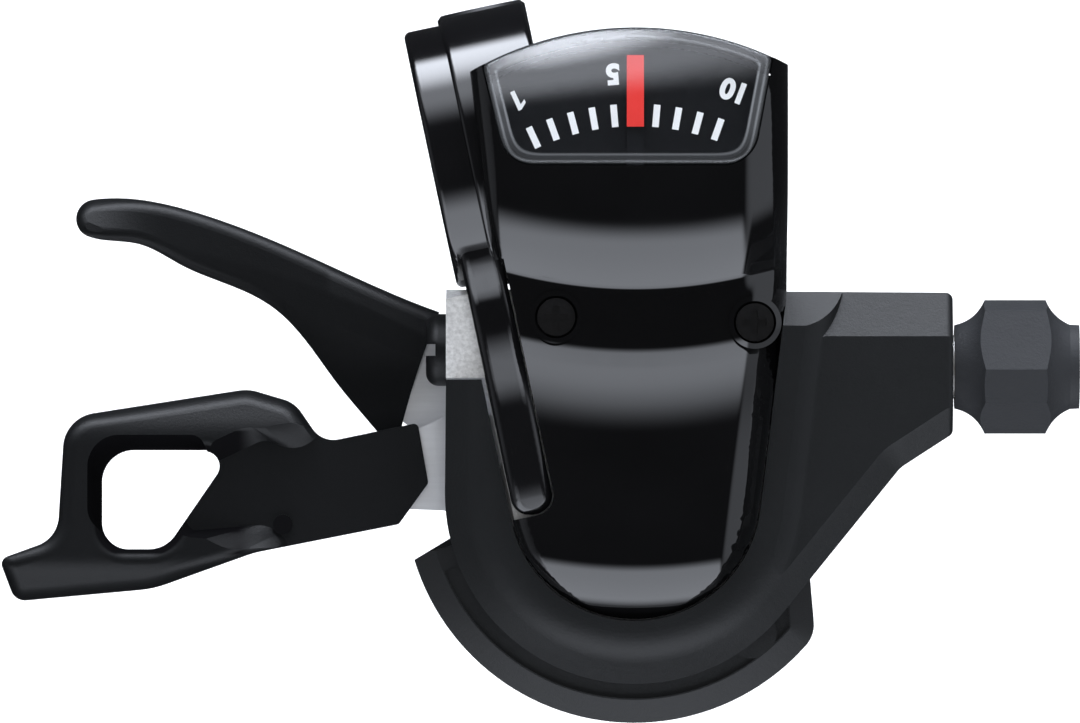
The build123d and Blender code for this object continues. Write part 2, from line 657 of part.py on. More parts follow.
# Lens: clear cap that follows the cover's crown
with BuildPart() as lens:
    with BuildSketch(level(LENS_LOW)):
        lens_plan(0)
    extrude(amount=9)
    add(under_skin(-0.1), mode=Mode.INTERSECT)
    fillet(lens.edges().filter_by(Axis.Z).sort_by(Axis.Y)[-2:], 2 * LENS_ROUND)
    fillet(lens.faces().sort_by(Axis.Z)[-1].edges(), LENS_ROUND)
    add(lens_core.part, mode=Mode.SUBTRACT)
keep(lens, "lens")

# Needle arm: from its pivot under the saddle, over the tray and onto the dial
with BuildPart() as needle_arm:
    with BuildSketch(side(-NEEDLE_W / 2)):
        with BuildLine():
            FilletPolyline((PIVOT_Y, ARM_Z), (BAR_Y - 14.05, ARM_Z), (BAR_Y - 9.25, DIAL_Z - 3.4),
                           (BAR_Y - 5.05, NEEDLE_Z + 0.3),
                           (PIVOT_Y + NEEDLE_TIP - 0.3, NEEDLE_Z + 0.3), radius=1.6)
        trace(line_width=0.6)
    extrude(amount=NEEDLE_W)
    with BuildSketch(level(ARM_Z - 0.6)):
        with Locations((0, PIVOT_Y)):
            Circle(NEEDLE_PIN_D / 2 + 1.3)
    extrude(amount=1.2)
    with BuildSketch(level(0)):
        with Locations((0, PIVOT_Y)):
            Circle(NEEDLE_PIN_D / 2 + RUN)
    extrude(amount=9, mode=Mode.SUBTRACT)
keep(needle_arm, "needle_arm")

# Red pointer on the arm's end
with BuildPart() as needle_pointer:
    with BuildSketch(level(NEEDLE_Z + 0.6)):
        with Locations((0, PIVOT_Y + (NEEDLE_TIP + NEEDLE_FOOT) / 2)):
            Rectangle(NEEDLE_W, NEEDLE_TIP - NEEDLE_FOOT)
    extrude(amount=POINTER_TOP - NEEDLE_Z - 0.6)
keep(needle_pointer, "needle_pointer")

# Pivot pin of the needle, pressed into the bracket
with BuildPart() as needle_pin:
    with BuildSketch(level(0)):
        with Locations((0, PIVOT_Y)):
            Circle(NEEDLE_PIN_D / 2)
    extrude(amount=ARM_Z + 0.9)
keep(needle_pin, "needle_pin")

# Rolled rim along the top cover's right side
with BuildPart() as roll:
    lean = radians(TONGUE_LEAN)
    turn = polar(TONGUE_R, -TONGUE_LEAN)
    rise = ARM_TOP_Y + 2 - turn[1]
    start = (turn[0] + rise * tan(lean), ARM_TOP_Y + 2)
    roll_in = BODY_RIM - ARM_BEVEL_DROP - RIM_ROUND * tan(radians(22.5)) + 0.1
    roll_top = BODY_TOP + 0.1
    with BuildLine(level(0)) as path:
        Line(start, turn)
        ThreePointArc(turn, polar(TONGUE_R, 315), polar(TONGUE_R, 270))
    with BuildSketch(Plane(origin=path.line @ 0, x_dir=(cos(lean), -sin(lean), 0), z_dir=path.line % 0)):
        with BuildLine():
            Polyline((roll_in + RIM_ROUND, roll_top - RIM_ROUND), (-5, roll_top - RIM_ROUND), (-5, roll_top),
                     (roll_in, roll_top))
            RadiusArc((roll_in, roll_top), (roll_in + RIM_ROUND, roll_top - RIM_ROUND), RIM_ROUND)
        make_face()
    sweep(path=path.line)

# Space over the arm's face and its bevelled back, up to the rolled rim
with BuildPart() as arm_space:
    face_z = BODY_TOP - ARM_SINK
    with BuildSketch(side(0)):
        with BuildLine():
            Polyline((-2 * BODY_R, face_z), (ARM_TOP_Y - ARM_BACK_W, face_z),
                     (ARM_TOP_Y + ARM_BACK_W, face_z - 2 * ARM_BACK_DROP), (ARM_TOP_Y + ARM_BACK_W, 2 * BODY_TOP),
                     (-2 * BODY_R, 2 * BODY_TOP), (-2 * BODY_R, face_z))
        make_face()
    extrude(amount=2 * ARM_END)
    add(roll.part, mode=Mode.SUBTRACT)

# Upper body: bowl around the mechanism with the cable arm
with BuildPart() as upper_body:
    with BuildSketch(level(PART_LINE)):
        body_plan()
    extrude(amount=BODY_TOP - PART_LINE)
    rim = upper_body.faces().sort_by(Axis.Z)[-1].edges()
    rim = [e for e in rim if (e @ 0.5).X > AXLE_X + 1 or (e @ 0.5).Y < AXLE_Y + LEG_TOP - 0.5]
    rim = [e for e in rim if (e @ 0.5).X < AXLE_X + ARM_END - 0.1]
    chamfer(rim, ARM_BEVEL_DROP)
    ridge = upper_body.faces().sort_by(Axis.Z)[-1].edges().filter_by(GeomType.CIRCLE)
    fillet(ridge.sort_by(Axis.Y)[0], RIM_ROUND)
    add(arm_space.part, mode=Mode.SUBTRACT)
    arm_face = upper_body.faces().filter_by_position(Axis.Z, face_z - 0.1, face_z + 0.1).sort_by(Axis.X)[-1]
    fillet(arm_face.edges().sort_by(Axis.X)[:2], ARM_ROUND)
    fillet(upper_body.faces().sort_by(Axis.X)[-1].edges().sort_by(Axis.Z)[1:], ARM_ROUND)
    with BuildSketch(level(0)):
        tongue(TONGUE_R, 2 * BODY_R)
    extrude(amount=2 * BODY_TOP, mode=Mode.SUBTRACT)
    with BuildSketch(level(PART_LINE)):
        Circle(CAVITY_R)
        tongue(TONGUE_R, 2 * BODY_R)
    extrude(amount=-PART_LINE, mode=Mode.SUBTRACT)
    with BuildSketch(level(PART_LINE)):
        with Locations((-BODY_R, 2)):
            Rectangle(14, 22)
    extrude(amount=RELEASE_TOP + 1.4 - PART_LINE, mode=Mode.SUBTRACT)
    with BuildSketch(on_cable(INSERT_IN)):
        Circle(STEM_D / 2 + INSERT_T)
    extrude(amount=ARM_END, mode=Mode.SUBTRACT)
    with BuildSketch(on_cable(0)):
        Circle(CABLE_HOLE_D / 2)
    extrude(amount=ARM_END, mode=Mode.SUBTRACT)
    with BuildSketch(level(PART_LINE)):
        with Locations(*BASE_SCREWS):
            Circle(BOSS_R)
    extrude(amount=8)
    with BuildSketch(level(PART_LINE)):
        with Locations(*BASE_SCREWS):
            Circle(SCREW_D / 2)
    extrude(amount=7, mode=Mode.SUBTRACT)
    with BuildSketch(level(PART_LINE)):
        with Locations(polar(PAWL_PIN_R, HOLD_PIN_AT)):
            Circle(PAWL_PIN_D / 2)
    extrude(amount=PIN_TOP - PART_LINE, mode=Mode.SUBTRACT)
keep(upper_body, "upper_body")

# Threaded insert in the arm
with BuildPart() as arm_insert:
    with BuildSketch(on_cable(INSERT_IN)):
        Circle(STEM_D / 2 + INSERT_T)
        Circle(STEM_D / 2 + RUN, mode=Mode.SUBTRACT)
    extrude(amount=ARM_END - INSERT_IN)
keep(arm_insert, "arm_insert")

# Hollow adjuster stem, fixed in the knob
with BuildPart() as adjuster_stem:
    with BuildSketch(on_cable(INSERT_IN + 0.4)):
        Circle(STEM_D / 2)
        Circle(CABLE_HOLE_D / 2, mode=Mode.SUBTRACT)
    extrude(amount=KNOB_IN - INSERT_IN - 0.4)
keep(adjuster_stem, "adjuster_stem")

# Adjuster knob: square with cut corners, necked at both ends
with BuildPart() as adjuster_knob:
    with BuildSketch(on_cable(KNOB_START)):
        Rectangle(KNOB_FLAT, KNOB_FLAT, rotation=KNOB_TURN)
        Rectangle(KNOB_CORNER, KNOB_CORNER, rotation=KNOB_TURN + 45, mode=Mode.INTERSECT)
    extrude(amount=KNOB_L)
    with BuildSketch(Plane(origin=(AXLE_X + KNOB_START, CABLE_Y, CABLE_Z))):
        with BuildLine():
            Polyline((0, 0), (0, KNOB_NECK_R))
            Spline((0, KNOB_NECK_R), (1.6, KNOB_NECK_R + 0.7), (2.9, KNOB_CORNER / 2 + 0.3))
            Line((2.9, KNOB_CORNER / 2 + 0.3), (KNOB_L - 3.2, KNOB_CORNER / 2 + 0.3))
            Spline((KNOB_L - 3.2, KNOB_CORNER / 2 + 0.3), (KNOB_L - 2.2, KNOB_NECK_R + 0.9),
                   (KNOB_L - 0.9, KNOB_NECK_R + 0.05))
            Polyline((KNOB_L - 0.9, KNOB_NECK_R + 0.05), (KNOB_L, KNOB_NECK_R), (KNOB_L, 0), (0, 0))
        make_face()
    revolve(axis=Axis((AXLE_X, CABLE_Y, CABLE_Z), (1, 0, 0)), mode=Mode.INTERSECT)
    with BuildSketch(on_cable(KNOB_START)):
        Circle(STEM_D / 2)
    extrude(amount=KNOB_IN - KNOB_START, mode=Mode.SUBTRACT)
    with BuildSketch(on_cable(KNOB_IN)):
        Circle(HOUSING_D / 2)
    extrude(amount=KNOB_L, mode=Mode.SUBTRACT)
keep(adjuster_knob, "adjuster_knob")

# Base cover: deep tray with a sloping brim, a ledge under the upper body and the main lever's mouth
with BuildPart() as base_cover:
    with BuildSketch(level(BASE_LOW)):
        base_plan()
    extrude(amount=PART_LINE - BASE_LOW)
    fillet(base_cover.edges().filter_by(Axis.Z).sort_by(Axis.X)[-1], 3.0)
    fillet(base_cover.faces().sort_by(Axis.Z)[0].edges(), 2.4)
    brim = base_cover.faces().sort_by(Axis.Z)[-1]
    outer = [e for e in brim.edges() if (e @ 0.5).Y < AXLE_Y - 8]
    chamfer(outer, BRIM_W, BRIM_DROP, reference=brim)
    with BuildSketch(level(BASE_LOW + BASE_WALL)):
        base_plan()
        offset(amount=-BASE_WALL)
    extrude(amount=PART_LINE - LEDGE_T - BASE_LOW - BASE_WALL, mode=Mode.SUBTRACT)
    with BuildSketch(level(PART_LINE - LEDGE_T)):
        base_plan()
        offset(amount=-BASE_WALL)
        Rectangle(4 * BASE_R, 2 * BASE_R, align=(Align.CENTER, Align.MIN), mode=Mode.INTERSECT)
        Circle(CAVITY_R)
    extrude(amount=2 * LEDGE_T, mode=Mode.SUBTRACT)
    with BuildSketch(level(PART_LINE - LEDGE_DROP)):
        base_plan()
        offset(amount=-BRIM_W - SEAM)
        Circle(BODY_R + SEAM, mode=Mode.SUBTRACT)
        with Locations(BASE_BOSS):
            Circle(2.4, mode=Mode.SUBTRACT)
    extrude(amount=2 * LEDGE_DROP, mode=Mode.SUBTRACT)
    with BuildSketch(level(MAIN_LOW - 0.8)):
        with BuildLine():
            Polyline((0, 0), polar(40, 125), polar(50, 170), polar(40, 218), (0, 0))
        make_face()
        Circle(HUB_R, mode=Mode.SUBTRACT)
    extrude(amount=MAIN_TOP + 0.8 - MAIN_LOW + 0.8, mode=Mode.SUBTRACT)
    with BuildSketch(level(MAIN_LOW - 0.8)):
        with BuildLine():
            Polyline((0, 0), polar(40, 125), polar(50, 165), polar(40, 196), (0, 0))
        make_face()
        Circle(HUB_R, mode=Mode.SUBTRACT)
    extrude(amount=20, mode=Mode.SUBTRACT)
    with BuildSketch(level(BASE_LOW + BASE_WALL)):
        with Locations(*BASE_SCREWS):
            Circle(BOSS_R)
    extrude(amount=PART_LINE - BASE_LOW - BASE_WALL)
    with BuildSketch(level(BASE_LOW)):
        with Locations(*BASE_SCREWS):
            Circle(SCREW_D / 2)
    extrude(amount=30, mode=Mode.SUBTRACT)
    with BuildSketch(level(BASE_LOW)):
        with Locations(*BASE_SCREWS):
            Circle(SCREW_HEAD_D / 2 + 0.2)
    extrude(amount=2.2, mode=Mode.SUBTRACT)
keep(base_cover, "base_cover")

# Screws of the base cover
with BuildPart() as base_screws:
    with BuildSketch(level(BASE_LOW + 2.2)):
        with Locations(*BASE_SCREWS):
            Circle(SCREW_D / 2)
    extrude(amount=PART_LINE + 6 - BASE_LOW - 2.2)
    with BuildSketch(level(BASE_LOW + 0.7)):
        with Locations(*BASE_SCREWS):
            Circle(SCREW_HEAD_D / 2)
    extrude(amount=1.5)
    with BuildSketch(level(BASE_LOW)):
        with Locations(*BASE_SCREWS):
            Rectangle(2.2, 0.6)
            Rectangle(0.6, 2.2)
    extrude(amount=1.4, mode=Mode.SUBTRACT)
for place, screw in enumerate(base_screws.part.solids().sort_by(Axis.X), 1):
    keep_solid(screw, f"base_screw_{place}")

# Axle with its head below, and the nut on the bracket
with BuildPart() as axle:
    with BuildSketch(level(FOOT_LOW)):
        Circle(AXLE_D / 2)
    extrude(amount=-FOOT_LOW)
    with BuildSketch(level(0)):
        Circle(AXLE_THREAD_D / 2)
    extrude(amount=BRACKET_T + NUT_H + 0.6)
    with BuildSketch(level(FOOT_LOW - AXLE_HEAD_H)):
        Circle(AXLE_D / 2 + 1.6)
    extrude(amount=AXLE_HEAD_H)
    with BuildSketch(level(FOOT_LOW - AXLE_HEAD_H)):
        RegularPolygon(2.0, 6, major_radius=False)
    extrude(amount=1.4, mode=Mode.SUBTRACT)
keep(axle, "axle")

with BuildPart() as axle_nut:
    with BuildSketch(level(BRACKET_T)):
        RegularPolygon(4.0, 6, major_radius=False)
        Circle(AXLE_THREAD_D / 2, mode=Mode.SUBTRACT)
    extrude(amount=NUT_H)
keep(axle_nut, "axle_nut")

# Steel foot plate above the axle head, held between the base cover's bosses
with BuildPart() as foot_plate:
    with BuildSketch(level(FOOT_LOW)):
        Circle(FOOT_R)
        Circle(AXLE_D / 2, mode=Mode.SUBTRACT)
        with Locations(*BASE_SCREWS):
            Circle(BOSS_R + SEAM, mode=Mode.SUBTRACT)
    extrude(amount=FOOT_T)
keep(foot_plate, "foot_plate")

# Cable drum: groove, pocket for the cable's nipple and a keyed hub below
with BuildPart() as cable_drum:
    with BuildSketch(level(DRUM_LOW)):
        Circle(DRUM_R)
    extrude(amount=DRUM_H)
    with BuildSketch(level(CABLE_Z - GROOVE_W / 2)):
        Circle(DRUM_R + 1)
        Circle(GROOVE_R - CABLE_D / 2, mode=Mode.SUBTRACT)
    extrude(amount=GROOVE_W, mode=Mode.SUBTRACT)
    with BuildSketch(level(CABLE_Z - NIPPLE_D / 2)):
        with Locations(polar(GROOVE_R - 1.4, NIPPLE_AT)):
            Circle(NIPPLE_D / 2)
    extrude(amount=DRUM_H, mode=Mode.SUBTRACT)
    with BuildSketch(level(FEED_LOW)):
        hub_key(Mode.ADD)
    extrude(amount=DRUM_LOW - FEED_LOW)
    with BuildSketch(level(FEED_LOW)):
        Circle(AXLE_D / 2 + RUN)
    extrude(amount=30, mode=Mode.SUBTRACT)
keep(cable_drum, "cable_drum")

# Ratchet plates on the drum's hub
with BuildPart() as holding_ratchet:
    with BuildSketch(level(HOLD_LOW)):
        ratchet(HOLD_TOOTH - (REST_GEAR - 1) * GEAR_PITCH, GEARS)
        hub_key(Mode.SUBTRACT)
    extrude(amount=RATCHET_T)
keep(holding_ratchet, "holding_ratchet")

with BuildPart() as feed_ratchet:
    with BuildSketch(level(FEED_LOW)):
        ratchet(FEED_TOOTH - (REST_GEAR - 1) * GEAR_PITCH, GEARS + FEED_STEPS)
        hub_key(Mode.SUBTRACT)
    extrude(amount=RATCHET_T)
keep(feed_ratchet, "feed_ratchet")

# Pawls, drawn lifted clear of the teeth
with BuildPart() as holding_pawl:
    with BuildSketch(pawl_plane(HOLD_PIN_AT, HOLD_LOW + 0.1)):
        pawl()
    extrude(amount=RATCHET_T - 0.2)
keep(holding_pawl, "holding_pawl")

with BuildPart() as feed_pawl:
    with BuildSketch(pawl_plane(FEED_PIN_AT, FEED_LOW)):
        pawl()
    extrude(amount=RATCHET_T)
keep(feed_pawl, "feed_pawl")

with BuildPart() as holding_pin:
    with BuildSketch(level(HOLD_LOW - 0.1)):
        with Locations(polar(PAWL_PIN_R, HOLD_PIN_AT)):
            Circle(PAWL_PIN_D / 2)
    extrude(amount=PIN_TOP - HOLD_LOW + 0.1)
keep(holding_pin, "holding_pin")

with BuildPart() as feed_pin:
    with BuildSketch(level(MAIN_LOW)):
        with Locations(polar(PAWL_PIN_R, FEED_PIN_AT)):
            Circle(PAWL_PIN_D / 2)
    extrude(amount=FEED_TOP + 0.2 - MAIN_LOW)
    with BuildSketch(level(MAIN_TOP)):
        with Locations(polar(PAWL_PIN_R, FEED_PIN_AT)):
            Circle(PAWL_PIN_D / 2 + 0.7)
    extrude(amount=FEED_ROOM - 0.1)
keep(feed_pin, "feed_pin")

# Sleeves on the axle
with BuildPart() as drum_spacer:
    with BuildSketch(level(MAIN_TOP + 0.1)):
        Circle(AXLE_D / 2 + 1.6)
        Circle(AXLE_D / 2 + RUN, mode=Mode.SUBTRACT)
    extrude(amount=FEED_ROOM - 0.2)
keep(drum_spacer, "drum_spacer")

with BuildPart() as foot_sleeve:
    with BuildSketch(level(FOOT_TOP)):
        Circle(AXLE_D / 2 + 1.2)
        Circle(AXLE_D / 2 + RUN, mode=Mode.SUBTRACT)
    extrude(amount=MAIN_LOW - FOOT_TOP - 0.1)
keep(foot_sleeve, "foot_sleeve")

# Return springs of the two levers
with BuildPart() as release_spring:
    coil(FEED_TOP + 0.15, RELEASE_SPRING_H, HUB_R + 1.4, 0.6, 1.75)
keep(release_spring, "release_spring")

with BuildPart() as main_spring:
    coil(FOOT_TOP + GAP, MAIN_SPRING_H, AXLE_D / 2 + 2.6, 1.1, 2.75)
keep(main_spring, "main_spring")

# Steel plate of the release lever, turning on the drum's hub
with BuildPart() as release_plate:
    blade = [(-0.2, 7.2), (-6.1, 4.6), (-18.1, 2.6), (-18.1, -2.8), (-5.1, -1.4), (-0.1, -1.6)]
    blade = [(x - BODY_R, y) for x, y in blade]
    with BuildSketch(level(RELEASE_LOW)):
        Circle(PLATE_R)
        with BuildLine():
            Polyline((0, PLATE_R), *blade, (0, -PLATE_R), (0, PLATE_R))
        make_face()
        Circle(HUB_R + RUN, mode=Mode.SUBTRACT)
    extrude(amount=PLATE_T)
    with BuildSketch(beside(RELEASE_LOW)):
        with Locations(RIVET_AT):
            Circle(RIVET_D / 2)
    extrude(amount=PLATE_T, mode=Mode.SUBTRACT)
keep(release_plate, "release_plate")

# Release lever: looped cap moulded round its plate
with BuildPart() as release_cap:
    with BuildSketch(beside(RELEASE_FLAT - RELEASE_T)):
        with BuildLine():
            FilletPolyline(*RELEASE_EDGE, radius=RELEASE_ROUND, close=True)
        make_face()
        with BuildLine():
            FilletPolyline(*RELEASE_HOLE, radius=RELEASE_HOLE_ROUND, close=True)
        make_face(mode=Mode.SUBTRACT)
    extrude(amount=RELEASE_T + RELEASE_UP)
    fillet(release_cap.faces().sort_by(Axis.Z)[-1].edges(), RAIL_ROUND)
    fillet(release_cap.faces().sort_by(Axis.Z)[0].edges(), FOOT_ROUND)
    with BuildSketch(beside(RELEASE_FLAT)):
        with BuildLine():
            FilletPolyline(*RELEASE_FLOOR, radius=RELEASE_FLOOR_ROUND, close=True)
        make_face()
    extrude(amount=2 * RELEASE_UP, taper=-FLOOR_SLOPE, mode=Mode.SUBTRACT)
    with BuildSketch(beside(RELEASE_FLAT - RELEASE_T)):
        with BuildLine():
            FilletPolyline(*RELEASE_HOLE, radius=RELEASE_HOLE_ROUND, close=True)
        make_face()
    extrude(amount=2 * RELEASE_T, dir=LOOP_SLOPE, mode=Mode.SUBTRACT)
    add(release_plate.part, mode=Mode.SUBTRACT)
    with BuildSketch(beside(RELEASE_FLAT - RELEASE_T)):
        with Locations(RIVET_AT):
            Circle(RIVET_D / 2)
    extrude(amount=2 * RELEASE_T, mode=Mode.SUBTRACT)
keep(release_cap, "release_cap")

with BuildPart() as release_rivet:
    with BuildSketch(beside(RELEASE_FLAT - RELEASE_T)):
        with Locations(RIVET_AT):
            Circle(RIVET_D / 2)
    extrude(amount=RELEASE_T + 0.4)
keep(release_rivet, "release_rivet")

# Steel plate of the main lever with an ear for the feed pawl
with BuildPart() as main_plate:
    blade = [(-1.6, 16.2), (-14.1, 21.2), (-27.1, 26.0), (-27.7, 24.3), (-20.1, 21.2), (-14.1, 17.4),
             (-8.7, 11.4), (-6.1, 8.4)]
    blade = [(x - BODY_R, y) for x, y in blade]
    ear = [polar(PAWL_PIN_R + 2.2, FEED_PIN_AT), polar(PAWL_PIN_R, FEED_PIN_AT + 9)]
    with BuildSketch(level(MAIN_LOW)):
        Circle(PLATE_R)
        with BuildLine():
            Polyline((0, PLATE_R), *blade, *ear, (0, -PLATE_R), (0, PLATE_R))
        make_face()
        Circle(AXLE_D / 2 + RUN, mode=Mode.SUBTRACT)
        with Locations(polar(PAWL_PIN_R, FEED_PIN_AT)):
            Circle(PAWL_PIN_D / 2, mode=Mode.SUBTRACT)
    extrude(amount=PLATE_T)
keep(main_plate, "main_plate")

# Main lever: long thumb paddle moulded round its plate, hollowed below and creased on top
with BuildPart() as main_cap:
    deep = MAIN_DEPTH - MAIN_CAP_OVER - PLATE_T
    with BuildSketch(beside(MAIN_TOP + MAIN_CAP_OVER)):
        with BuildLine():
            back = Spline((-0.6, 17.2), (-13.7, 22.84), (-24.1, 26.8), (-30.2, 28.0), (-33.5, 27.9))
            tip = TangentArc(back @ 1, (-34.7, 24.9), tangent=back % 1)
            Spline(tip @ 1, (-29.7, 23.8), (-25.0, 21.6), (-19.4, 19.3), (-16.1, 17.4), (-10.9, 11.2),
                   (-4.8, 3.8), tangents=(tip % 1, (6.1, -7.4)))
            ThreePointArc((-4.8, 3.8), (-3.0, 10.5), (-0.6, 17.2))
        make_face()
    extrude(amount=-2 * MAIN_DEPTH)
    belly = Plane(origin=(AXLE_X - BODY_R, AXLE_Y + 60, MAIN_LOW), x_dir=(1, 0, 0), z_dir=(0, -1, 0))
    with BuildSketch(belly):
        with BuildLine():
            Spline((1.9, -0.9), (-6.1, -1.2), (-18.1, -0.54 * deep), (-29.1, -deep), (-38.1, -0.89 * deep))
            Polyline((-38.1, -0.89 * deep), (-38.1, MAIN_DEPTH), (1.9, MAIN_DEPTH), (1.9, -0.9))
        make_face()
    extrude(amount=120, mode=Mode.INTERSECT)
    top = main_cap.faces().sort_by(Axis.Z)[-1].edges()
    fillet([e for e in top if (e @ 0.5).X < AXLE_X - BODY_R - 5], MAIN_ROUND)
    low = main_cap.faces().filter_by(GeomType.EXTRUSION).sort_by(Axis.Z)[0].edges()
    fillet([e for e in low if (e @ 0.5).X < AXLE_X - BODY_R - 5], 0.8 * MAIN_ROUND)
    with BuildSketch(crease_plane()):
        with BuildLine():
            Polyline((0, -1), (20, -1), (20, 20 * tan(radians(CREASE_FALL))), (0, 0), (0, -1))
        make_face()
    extrude(amount=90, mode=Mode.SUBTRACT)
    add(main_plate.part, mode=Mode.SUBTRACT)
keep(main_cap, "main_cap")
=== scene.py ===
import math

import bpy
import numpy as np
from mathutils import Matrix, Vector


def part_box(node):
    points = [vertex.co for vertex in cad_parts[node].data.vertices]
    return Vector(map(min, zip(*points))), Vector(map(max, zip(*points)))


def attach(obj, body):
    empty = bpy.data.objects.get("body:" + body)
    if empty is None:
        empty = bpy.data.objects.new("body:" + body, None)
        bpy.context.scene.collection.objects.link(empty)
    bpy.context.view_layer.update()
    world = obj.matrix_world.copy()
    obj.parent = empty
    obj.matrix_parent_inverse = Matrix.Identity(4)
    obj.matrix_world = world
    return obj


# Looks of the trigger gear shifter: finishes, dial print, floor, studio light and camera.
# The scene is in metres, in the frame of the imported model: the bar's centre is the origin, the dial
# faces +Z, the cable leaves along +X and the rider sits on the +Y side. Sizes on the object are
# written in millimetres, and those of the floor, the walls and the lamp in metres.

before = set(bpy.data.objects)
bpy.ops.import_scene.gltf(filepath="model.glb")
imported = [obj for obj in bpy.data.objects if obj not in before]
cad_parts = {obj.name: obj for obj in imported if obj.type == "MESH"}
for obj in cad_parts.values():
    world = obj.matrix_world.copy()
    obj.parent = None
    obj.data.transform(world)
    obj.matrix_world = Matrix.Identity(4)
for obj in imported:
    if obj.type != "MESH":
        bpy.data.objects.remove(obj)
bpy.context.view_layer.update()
MM = 0.001
AXLE = (13.6, -32.65)  # the levers' axle
PIVOT = (13.6, -19.75)  # the needle's axis


# Shader sockets

class Signal:
    """One shader socket: arithmetic on it adds Math nodes, and node() adds a node of any other type."""

    def __init__(self, tree, socket=None):
        self.tree = tree
        self.socket = socket

    def node(self, kind, inputs=None, output=0, **settings):
        """Adds a node: its settings come first, then the values or links of its sockets."""
        made = self.tree.nodes.new(kind)
        for name, value in settings.items():
            setattr(made, name, value)
        for name, value in (inputs or {}).items():
            if isinstance(value, Signal):
                self.tree.links.new(value.socket, made.inputs[name])
            else:
                made.inputs[name].default_value = value
        return Signal(self.tree, made.outputs[output] if made.outputs else None)

    def math(self, operation, *values):
        """One Math node on values or signals."""
        return self.node("ShaderNodeMath", dict(enumerate(values)), operation=operation)

    def __add__(self, other):
        return self.math("ADD", self, other)

    def __sub__(self, other):
        return self.math("SUBTRACT", self, other)

    def __rsub__(self, other):
        return self.math("SUBTRACT", other, self)

    def __mul__(self, other):
        return self.math("MULTIPLY", self, other)

    def __pow__(self, other):
        return self.math("POWER", self, other)

    __radd__ = __add__
    __rmul__ = __mul__

    def parts(self):
        """The three parts of a vector."""
        split = self.node("ShaderNodeSeparateXYZ", {0: self})
        return [Signal(self.tree, socket) for socket in split.socket.node.outputs]

    def step(self, low, high):
        """Smooth rise from 0 at low to 1 at high."""
        inputs = {"Value": self, "From Min": low, "From Max": high}
        return self.node("ShaderNodeMapRange", inputs, interpolation_type="SMOOTHSTEP")

    def fall(self, low, high):
        """Smooth fall from 1 at low to 0 at high."""
        return 1 - self.step(low, high)

    def between(self, dark, light):
        """Colour from dark to light as the signal goes from 0 to 1."""
        inputs = {"Factor": self, 6: (*dark, 1), 7: (*light, 1)}
        return self.node("ShaderNodeMix", inputs, 2, data_type="RGBA")

    def table(self, stops):
        """Value read from a table of places and values, all from 0 to 1, with straight lines between them."""
        ramp = self.node("ShaderNodeValToRGB", {"Fac": self})
        elements = ramp.socket.node.color_ramp.elements
        for count, (place, value) in enumerate(stops):
            element = elements[count] if count < len(elements) else elements.new(place)
            element.position = place
            element.color = (value, value, value, 1)
        return ramp


def new_finish(name):
    """An empty material: its sheet for adding nodes and its object coordinates."""
    material = bpy.data.materials.new(name + "_finish")
    material.use_nodes = True
    material.node_tree.nodes.clear()
    sheet = Signal(material.node_tree)
    place = sheet.node("ShaderNodeTexCoord", output="Object")
    return material, sheet, place


def close(material, sheet, surface):
    """Ends a finish with its surface shader."""
    sheet.node("ShaderNodeOutputMaterial", {"Surface": surface})
    return material


def principled(sheet, **sockets):
    """The common surface shader, its sockets given by name with _ for a space."""
    inputs = {name.replace("_", " "): value for name, value in sockets.items()}
    return sheet.node("ShaderNodeBsdfPrincipled", inputs)


def diffuse(sheet, colour):
    """A dull surface of one colour."""
    return sheet.node("ShaderNodeBsdfDiffuse", {"Color": (*colour, 1)})


def blend(sheet, share, first, second):
    """Two shaders, of which the second has the given share."""
    return sheet.node("ShaderNodeMixShader", {0: share, 1: first, 2: second})


def flat_place(place):
    """The x and y of a point in mm."""
    x, y, _ = place.parts()
    return x * (1 / MM), y * (1 / MM)


def noise(place, size, detail=3.0, rough=0.55):
    """Cloudy noise from 0 to 1 whose lumps are about size mm across."""
    inputs = {"Vector": place, "Scale": 1 / (size * MM), "Detail": detail, "Roughness": rough}
    return place.node("ShaderNodeTexNoise", inputs)


def bump(height, depth, normal=None):
    """Normal of a surface raised by height (0 to 1) times depth in mm."""
    inputs = {"Height": height, "Distance": depth * MM, "Strength": 1.0}
    if normal:
        inputs["Normal"] = normal
    return height.node("ShaderNodeBump", inputs)


def leaning(sheet, axis, degrees, normal=None):
    """A normal, or else the surface's own, turned about one axis by a varying number of degrees."""
    normal = normal or sheet.node("ShaderNodeNewGeometry", output="Normal")
    inputs = {"Vector": normal, "Angle": degrees * math.radians(1)}
    return sheet.node("ShaderNodeVectorRotate", inputs, rotation_type=axis + "_AXIS")


# Top cover: tilt of its side view in degrees towards the far side, by mm from the axle towards the
# rider, first as in the solid and then as it is shaded

